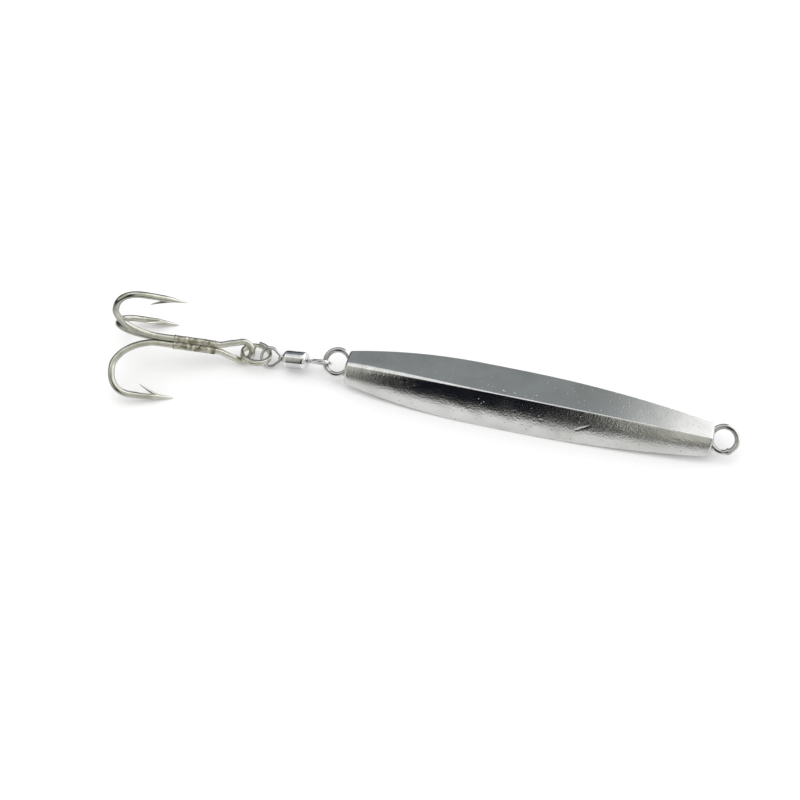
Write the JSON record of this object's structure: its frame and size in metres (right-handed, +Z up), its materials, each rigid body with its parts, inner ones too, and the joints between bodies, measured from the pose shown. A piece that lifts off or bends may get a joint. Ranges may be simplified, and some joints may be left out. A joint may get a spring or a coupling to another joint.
{
  "type": "metal jig lure with swivel and treble hook",
  "caption": "Cast lead jig, four-sided and tapered, a ring cast into each end; the hook end carries a barrel swivel, a split ring and a treble hook.",
  "frame": {"origin": "middle of the facet that the body rests on, at the body's fattest place", "axes": "+X along the body from the hook end to the line end, +Z up, away from the surface it lies on"},
  "size_m": [0.1909, 0.0343, 0.0302],
  "materials": {
    "plated_lead": "bright plating over a rough casting",
    "ring_steel": "bright, drawn wire",
    "swivel_steel": "nickel plated",
    "split_steel": "tinned, slightly yellow",
    "hook_steel": "tinned, slightly yellow",
    "brazing": "rough brazing, tinned over"
  },
  "bodies": {
    "jig": {"jig_body": "plated_lead", "hook_end_ring": "ring_steel", "line_end_ring": "ring_steel"},
    "front_eye": {"swivel_front_eye": "swivel_steel"},
    "barrel": {"swivel_barrel": "swivel_steel"},
    "rear_eye": {"swivel_rear_eye": "swivel_steel"},
    "split_ring": {"split_ring": "split_steel"},
    "treble": {"treble_hook_pair": "hook_steel", "treble_third_hook": "hook_steel", "treble_brazing": "brazing"}
  },
  "joints": [
    {"name": "front_eye_swing", "type": "hinge", "parent": "jig", "child": "front_eye", "pos_m": [-0.05257, 0.00226, 0.00517], "axis": [0.2419, -0.8138, -0.5284], "range_deg": [-60, 60]},
    {"name": "barrel_spin", "type": "hinge", "parent": "front_eye", "child": "barrel", "pos_m": [-0.05811, 0.00226, 0.00437], "axis": [-0.9899, -0.0009, -0.1417], "continuous": true},
    {"name": "rear_eye_spin", "type": "hinge", "parent": "barrel", "child": "rear_eye", "pos_m": [-0.06573, 0.00225, 0.00328], "axis": [-0.9899, -0.0009, -0.1417], "continuous": true},
    {"name": "split_ring_swing", "type": "hinge", "parent": "rear_eye", "child": "split_ring", "pos_m": [-0.07019, 0.00225, 0.00264], "axis": [-0.1615, 0.9671, -0.1965], "range_deg": [-50, 50]},
    {"name": "treble_swing", "type": "hinge", "parent": "split_ring", "child": "treble", "pos_m": [-0.07864, 0.00113, 0.00411], "axis": [-0.1615, 0.9671, -0.1965], "range_deg": [-45, 45]}
  ]
}
